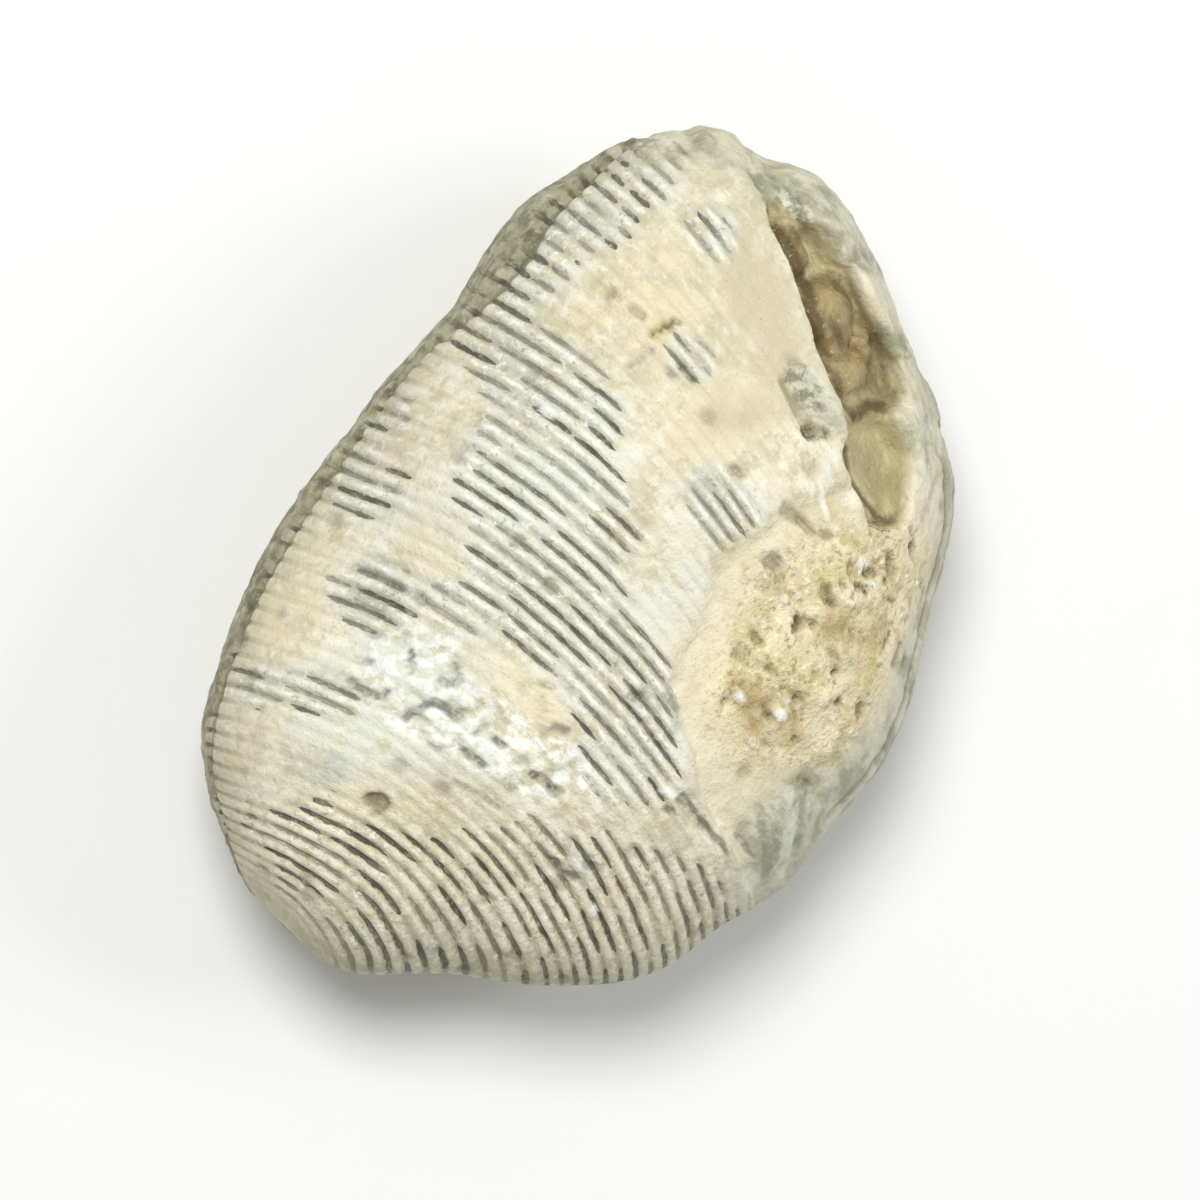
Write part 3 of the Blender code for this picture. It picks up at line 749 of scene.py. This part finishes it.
def shellMaterial():
    material = bpy.data.materials.new("ribbed cream limestone")
    g = Graph(material)
    place = g.add("ShaderNodeTexCoord", {}).outputs["Object"]
    uv = g.add("ShaderNodeUVMap", {}, uv_map="ribMap").outputs["UV"]
    count = g.add("ShaderNodeSeparateXYZ", {0: uv}).outputs[0]
    value = g.value

    broad, medium, blotch = value("broad"), value("medium"), value("blotch")
    mottle = g.noise(place, 1700, 3, 0.55)
    fine = g.noise(place, 2600, 3, 0.7)
    dust = g.noise(place, 6000, 2, 0.6)
    fleckPlace = g.add("ShaderNodeMapping", {0: uv, "Scale": (1.8, 0.9, 1)}).outputs[0]
    fleck = g.noise(fleckPlace, 1.2, 3, 0.6)
    edged = g.times(g.ramp(medium, 0.3, 0.6), 0.9)

    # cream stone, mottled pale and sallow, with chalky, warm, pinkish, cool and ashy patches
    tone = g.mix(g.ramp(broad, 0.38, 0.62), colour(230, 223, 194), colour(216, 210, 180))
    tone = g.mix(g.ramp(blotch, 0.5, 0.66, 0, 0.7), tone, colour(243, 238, 217))
    tone = g.mix(g.ramp(blotch, 0.45, 0.34, 0, 0.6), tone, colour(201, 192, 158))
    tone = g.mix(g.ramp(medium, 0.56, 0.72, 0, 0.45), tone, colour(232, 215, 177))
    tone = g.mix(g.ramp(mottle, 0.54, 0.66, 0, 0.5), tone, colour(246, 242, 224))
    tone = g.mix(g.ramp(mottle, 0.47, 0.36, 0, 0.7), tone, colour(199, 191, 158))
    tone = g.mix(g.ramp(fleck, 0.54, 0.68, 0, 0.5), tone, colour(247, 244, 229))
    tone = g.mix(g.ramp(fleck, 0.45, 0.32, 0, 0.4), tone, colour(194, 188, 158))
    chalky = g.times(value("chalk"), g.ramp(blotch, 0.38, 0.55, 0.35, 1))
    tone = g.mix(chalky, tone, colour(227, 228, 212))
    warmer = g.times(value("warm"), g.ramp(blotch, 0.4, 0.6, 0.1, 0.75))
    tone = g.mix(warmer, tone, colour(229, 216, 178))
    pinkish = g.times(value("pink"), g.ramp(medium, 0.25, 0.55, 0.5, 0.95))
    tone = g.mix(pinkish, tone, colour(206, 195, 163))
    # low grows from the dome's top down to the rim; the marks below use it for grime and painted
    # shade
    low = g.ramp(value("height"), 14.5, 8.8, 0, 0.85)
    high = g.maths("SUBTRACT", 1.0, low)
    cool = g.times(value("cool"), g.ramp(blotch, 0.35, 0.6, 0.1, 0.7))
    cool = g.times(cool, high)
    tone = g.mix(cool, tone, colour(219, 221, 208))
    ashy = g.times(value("ashy"), g.ramp(blotch, 0.34, 0.56, 0.3, 0.8))
    ashy = g.times(ashy, g.ramp(mottle, 0.6, 0.42, 0.35, 1))
    tone = g.mix(ashy, tone, colour(189, 189, 174))

    # darker and greenish towards the rim and over the underside: partly greenish grime, partly
    # painted shade on the lower slopes
    grimeAndShade = g.mix(g.ramp(medium, 0.4, 0.62), colour(186, 181, 146), colour(152, 148, 112))
    tone = g.mix(g.times(low, g.ramp(blotch, 0.35, 0.6, 0.45, 1)), tone, grimeAndShade)

    # fresh patches: pale crests with painted highlight, grey shoulders with painted shade, and the
    # dark cuts broken into dashes
    grooved, worn, dash = value("grooved"), value("worn"), value("dash")
    offGroove = g.maths("PINGPONG", count, 0.5)
    fresh = g.times(grooved, g.maths("SUBTRACT", 1.0, worn))
    # grey rib shoulders beside the grooves: partly grey stain, partly painted shade, darker and
    # sallower lower down
    shoulder = g.times(fresh, g.ramp(offGroove, 0.1, 0.36, 0.7, 0.05))
    shoulder = g.times(shoulder, g.ramp(fleck, 0.4, 0.58, 0.25, 1))
    sallow = g.maths("MAXIMUM", low, value("sallow"))
    shade = g.mix(sallow, colour(176, 177, 160), colour(168, 163, 126))
    tone = g.mix(shoulder, tone, shade)
    # pale rib crests: partly the stone's pale tone, partly painted highlight, only on the higher
    # parts
    crest = g.times(fresh, g.ramp(offGroove, 0.26, 0.44, 0, 0.75))
    crest = g.times(crest, g.ramp(fleck, 0.45, 0.6, 0.1, 1))
    crest = g.times(crest, high)
    crest = g.times(crest, g.maths("MULTIPLY_ADD", ashy, -0.8, 1.0))
    tone = g.mix(crest, tone, g.mix(sallow, colour(247, 247, 238), colour(236, 231, 204)))
    bright = g.times(fresh, g.ramp(fine, 0.57, 0.68, 0, 0.7))
    tone = g.mix(bright, tone, colour(251, 251, 245))
    speckled = g.times(fresh, g.ramp(fine, 0.42, 0.31, 0, 0.6))
    tone = g.mix(speckled, tone, colour(138, 138, 120))
    # a cut is widest in the middle of its dash, and runs out to a point
    widest = g.ramp(mottle, 0.35, 0.65, 0.14, 0.25)
    faintLine = g.ramp(g.maths("DIVIDE", offGroove, widest), 0.5, 1.1, 1, 0)
    faintLine = g.times(faintLine, value("ribbed"))
    width = g.maths("ADD", g.times(dash, widest), 0.001)
    line = g.ramp(g.maths("DIVIDE", offGroove, width), 0.55, 1.05, 1, 0)
    line = g.times(line, g.ramp(dash, 0.08, 0.35))
    # painted shade: faint darker lines along the grooves, weaker on the worn side
    faintGrooveShade = g.times(faintLine, g.maths("MULTIPLY_ADD", worn, -0.22, 0.22))
    tone = g.mix(g.times(faintGrooveShade, edged), tone, colour(168, 160, 130))
    # darker olive smudges on the lower fresh ribs: partly dirt, partly painted shade
    smudgeAndShade = g.times(g.ramp(low, 0.1, 0.5), g.ramp(medium, 0.52, 0.66, 0, 0.5))
    tone = g.mix(g.times(smudgeAndShade, fresh), tone, colour(164, 156, 118))
    # grooves darker and browner towards the rim: partly grime, partly painted shade
    grooveGrimeAndShade = g.times(faintLine, g.ramp(low, 0.1, 0.7, 0, 0.6))
    tone = g.mix(grooveGrimeAndShade, tone, colour(126, 118, 88))
    dashed = g.ramp(value("strength"), 0, 0.8, 0.4, 0.95)
    dashed = g.times(dashed, g.ramp(fleck, 0.34, 0.5, 0.6, 1))
    dark = g.times(line, g.times(dashed, value("ribbed")))
    stain = g.mix(g.ramp(blotch, 0.4, 0.6), colour(80, 79, 66), colour(110, 107, 88))
    tone = g.mix(dark, tone, stain)

    # worn side: smooth cream, greyer on the flank, ochre and tan where it is rough
    wornTone = g.mix(g.ramp(medium, 0.35, 0.7), colour(233, 225, 194), colour(216, 207, 174))
    wornTone = g.mix(g.ramp(blotch, 0.55, 0.68, 0, 0.7), wornTone, colour(244, 240, 218))
    tone = g.mix(g.times(worn, g.ramp(low, 0.1, 0.7, 0.65, 0.4)), tone, wornTone)
    # a greyer band low on the hinge flank: partly the stone's grey, partly painted shade where the
    # flank turns away
    band = g.mix(g.ramp(blotch, 0.38, 0.6), colour(196, 196, 172), colour(164, 163, 136))
    tone = g.mix(g.times(value("banded"), 0.75), tone, band)
    moss = g.mix(g.ramp(blotch, 0.34, 0.68), colour(212, 209, 182), colour(154, 152, 120))
    moss = g.mix(g.ramp(mottle, 0.5, 0.66, 0, 0.5), moss, colour(228, 226, 204))
    moss = g.mix(g.ramp(mottle, 0.46, 0.32, 0, 0.5), moss, colour(134, 132, 100))
    mossy = g.times(value("mossy"), g.ramp(medium, 0.25, 0.5, 0.5, 1))
    tone = g.mix(mossy, tone, moss)
    drawnOut = g.add("ShaderNodeMapping", {0: place, "Scale": (1, 0.3, 0.3)}).outputs[0]
    streaks = g.noise(drawnOut, 900)
    greys = g.mix(g.ramp(streaks, 0.42, 0.6), colour(212, 212, 188), colour(160, 160, 136))
    greyer = g.times(value("smoothFlank"), g.ramp(medium, 0.25, 0.5, 0.4, 1))
    tone = g.mix(greyer, tone, greys)
    ochre = value("ochre")
    ochreTone = g.mix(g.ramp(blotch, 0.38, 0.62), colour(238, 226, 186), colour(218, 202, 155))
    # pale flecks on the ochre grains are partly painted highlight, dark flecks partly painted shade
    # in their crevices
    ochreTone = g.mix(g.ramp(fine, 0.55, 0.66, 0, 0.9), ochreTone, colour(249, 244, 214))
    ochreTone = g.mix(g.ramp(fine, 0.44, 0.34, 0, 0.7), ochreTone, colour(146, 130, 82))
    ochreTone = g.mix(g.ramp(mottle, 0.46, 0.34, 0, 0.5), ochreTone, colour(168, 150, 96))
    tone = g.mix(g.times(ochre, g.ramp(medium, 0.25, 0.5, 0.5, 0.95)), tone, ochreTone)
    tanned = g.times(value("tan"), g.ramp(blotch, 0.35, 0.55, 0.4, 0.85))
    tone = g.mix(tanned, tone, colour(176, 150, 98))
    gold = g.times(value("gold"), g.ramp(mottle, 0.4, 0.55, 0.3, 0.7))
    tone = g.mix(gold, tone, colour(206, 190, 124))
    sugar = g.mix(g.ramp(mottle, 0.42, 0.58), colour(222, 221, 200), colour(150, 148, 120))
    tone = g.mix(value("crystal"), tone, sugar)
    tone = g.mix(g.times(value("flankLine"), 0.8), tone, colour(122, 120, 96))

    # pit: rusty lumps on an olive brown ground above a low brown wall, an olive bowl below it
    pit = value("pit")
    share = value("pitShare")
    ground = g.mix(g.ramp(medium, 0.38, 0.62), colour(184, 172, 132), colour(138, 123, 84))
    lumps = g.mix(g.ramp(blotch, 0.4, 0.62), colour(172, 152, 106), colour(136, 117, 75))
    lumps = g.mix(g.ramp(fine, 0.6, 0.72, 0, 0.5), lumps, colour(196, 180, 138))
    inside = g.mix(value("filled"), ground, lumps)
    inside = g.mix(g.ramp(mottle, 0.55, 0.7, 0, 0.25), inside, colour(206, 198, 166))
    olive = g.mix(g.ramp(medium, 0.4, 0.65), colour(197, 189, 149), colour(170, 161, 122))
    inside = g.mix(g.ramp(share, 0.68, 0.74), inside, olive)
    inside = g.mix(g.ramp(value("septum"), 0.4, 0.9, 0, 0.8), inside, colour(176, 158, 116))
    inside = g.mix(value("pitShade"), inside, colour(92, 78, 44))
    tone = g.mix(g.ramp(pit, 0.12, 0.6), tone, inside)

    # the lower valve's lip and its underside: greenish grey crust, darkened partly as painted shade
    # under the upper valve's edge, dark dots where ribs end
    crustAndShade = g.mix(g.ramp(mottle, 0.34, 0.66), colour(170, 166, 134), colour(112, 109, 78))
    crustAndShade = g.mix(g.ramp(blotch, 0.52, 0.66, 0, 0.7), crustAndShade, colour(205, 201, 174))
    dull = g.mix(g.ramp(blotch, 0.35, 0.6), colour(176, 168, 136), colour(140, 133, 104))
    tone = g.mix(g.times(value("crusted"), 0.7), tone, dull)
    tone = g.mix(g.times(value("lip"), g.ramp(broad, 0.3, 0.6, 0.7, 1)), tone, crustAndShade)
    notch = g.times(g.ramp(value("frontGap"), 0.2, 0.85, 1, 0), faintLine)
    tone = g.mix(g.times(notch, g.ramp(blotch, 0.4, 0.58, 0.05, 0.95)), tone, colour(78, 74, 54))
    crack = g.ramp(value("seam"), 0.02, 0.24, 0.7, 0)
    tone = g.mix(crack, tone, colour(104, 100, 76))

    # scuffed ground: chalk white flakes
    scuffed = g.times(value("scuffed"), g.ramp(mottle, 0.42, 0.58, 0, 0.85))
    tone = g.mix(scuffed, tone, colour(247, 248, 241))

    # thin marks: grey scratches, partly painted shadow beside the chips, olive brown holes, grey
    # and pale lines on the flank, and painted highlights as bright glints
    broken = g.ramp(mottle, 0.36, 0.52, 0.35, 1)
    tone = g.mix(g.times(value("scratchAndShadow"), broken), tone, colour(74, 73, 58))
    tone = g.mix(g.times(value("hole"), broken), tone, colour(104, 92, 52))
    tone = g.mix(g.times(value("flank"), broken), tone, colour(126, 125, 102))
    tone = g.mix(value("pale"), tone, colour(226, 228, 210))
    # painted highlights: bright glints on small raised flakes and grains
    tone = g.mix(value("glint"), tone, colour(253, 252, 244))

    # darker in the hollows, partly dirt and partly painted shade; white on the knobs, partly
    # painted highlight; and a dust of dark and white specks
    tone = g.mix(g.times(value("hollow"), 0.8), tone, colour(112, 104, 74))
    # white on the knobs: partly pale grains, partly painted highlight
    tone = g.mix(g.times(value("pearl"), 0.7), tone, colour(252, 250, 238))
    outside = g.maths("SUBTRACT", 1.0, pit)
    specks = g.times(outside, g.ramp(dust, 0.64, 0.74, 0, 0.35))
    tone = g.mix(specks, tone, colour(140, 133, 104))
    tone = g.mix(g.ramp(dust, 0.36, 0.3, 0, 0.3), tone, colour(250, 247, 236))

    g.tree.links.new(tone, g.shader.inputs["Base Color"])
    rough = g.ramp(fine, 0.3, 0.7, 0.45, 0.75)
    g.tree.links.new(g.maths("MULTIPLY_ADD", worn, -0.06, rough), g.shader.inputs["Roughness"])
    g.shader.inputs["Specular IOR Level"].default_value = 0.45

    # bump: stone grain, flecks along the ribs, sugary grains on the ochre
    level = g.times(fine, g.maths("MULTIPLY_ADD", ochre, 0.6, 0.7))
    level = g.maths("MULTIPLY_ADD", mottle, 0.8, level)
    level = g.maths("MULTIPLY_ADD", dust, 0.18, level)
    level = g.maths("MULTIPLY_ADD", fleck, g.maths("MULTIPLY_ADD", worn, -0.2, 0.35), level)
    level = g.maths("MULTIPLY_ADD", dark, -0.7, level)
    bump = g.add("ShaderNodeBump", {"Strength": 0.8, "Distance": 0.00017, "Height": level})
    g.tree.links.new(bump.outputs[0], g.shader.inputs["Normal"])
    return material


shell.data.materials.append(shellMaterial())
print("shell material made")


studio = {
    "imageUp": (0.766, 0.643, 0.0),
    "cameraHeight": 0.40, "cameraLeft": 0.044, "cameraUp": 0.003,
    "frameWidth": 0.052,
    "cameraTarget": (0, 0, 0.009), "clipNear": 0.01, "clipFar": 10,
    "floorSize": 1.6, "floorDrop": 0.00002,
    "floorTones": ((0.86, 0.86, 0.85, 1), (0.9, 0.9, 0.89, 1)),
    # each light's place: metres to the left and up in the view, and its height
    "keyPlace": (0.1, 0.2, 0.6), "fillPlace": (-0.45, 0.1, 0.45),
    "keyPower": 2.75, "fillPower": 0.85, "lightSize": 0.24, "worldLight": 0.38,
    "lightTarget": (0, 0, 0.008), "lightUp": (0, 0.3, 1),
}


def addFloor():
    size = studio["floorSize"] / 2
    z = -studio["floorDrop"]
    corners = [(-size, -size, z), (size, -size, z), (size, size, z), (-size, size, z)]
    mesh = bpy.data.meshes.new("floor")
    mesh.from_pydata(corners, [], [(0, 1, 2, 3)])
    floor = bpy.data.objects.new("floor", mesh)
    bpy.context.scene.collection.objects.link(floor)
    material = bpy.data.materials.new("pale floor")
    g = Graph(material)
    place = g.add("ShaderNodeTexCoord", {}).outputs["Object"]
    tone = g.mix(g.noise(place, 40, 3), *studio["floorTones"])
    g.tree.links.new(tone, g.shader.inputs["Base Color"])
    g.shader.inputs["Roughness"].default_value = 0.8
    mesh.materials.append(material)


def pointed(at, target, up):
    # a place looking at a target, with this direction upwards in its view
    back = (at - target).normalized()
    right = up.cross(back).normalized()
    turn = Matrix((right, back.cross(right), back)).transposed().to_4x4()
    return Matrix.Translation(at) @ turn


def addLight(name, left, up):
    toLeft, toUp, height = studio[name + "Place"]
    place = left * toLeft + up * toUp + Vector((0, 0, height))
    light = bpy.data.lights.new(name, "AREA")
    light.shape = "DISK"
    light.size = studio["lightSize"]
    light.energy = studio[name + "Power"]
    lamp = bpy.data.objects.new(name, light)
    target = Vector(studio["lightTarget"])
    lamp.matrix_world = pointed(place, target, Vector(studio["lightUp"]))
    bpy.context.scene.collection.objects.link(lamp)


def addStudio():
    up = Vector(studio["imageUp"])
    left = Vector((0, 0, 1)).cross(up)
    for name in ("key", "fill"):
        addLight(name, left, up)
    scene = bpy.context.scene
    world = bpy.data.worlds.new("studio")
    world.use_nodes = True
    sky = world.node_tree.nodes["Background"].inputs
    sky["Color"].default_value = (1, 1, 1, 1)
    sky["Strength"].default_value = studio["worldLight"]
    scene.world = world
    scene.view_settings.view_transform = "Standard"

    target = Vector(studio["cameraTarget"])
    place = target + left * studio["cameraLeft"] + up * studio["cameraUp"]
    place.z = studio["cameraHeight"]
    data = bpy.data.cameras.new("camera")
    data.lens = data.sensor_width * (place - target).length / studio["frameWidth"]
    data.clip_start, data.clip_end = studio["clipNear"], studio["clipFar"]
    camera = bpy.data.objects.new("camera", data)
    camera.matrix_world = pointed(place, target, up)
    scene.collection.objects.link(camera)
    scene.camera = camera


addFloor()
addStudio()
print("floor, light and camera made")
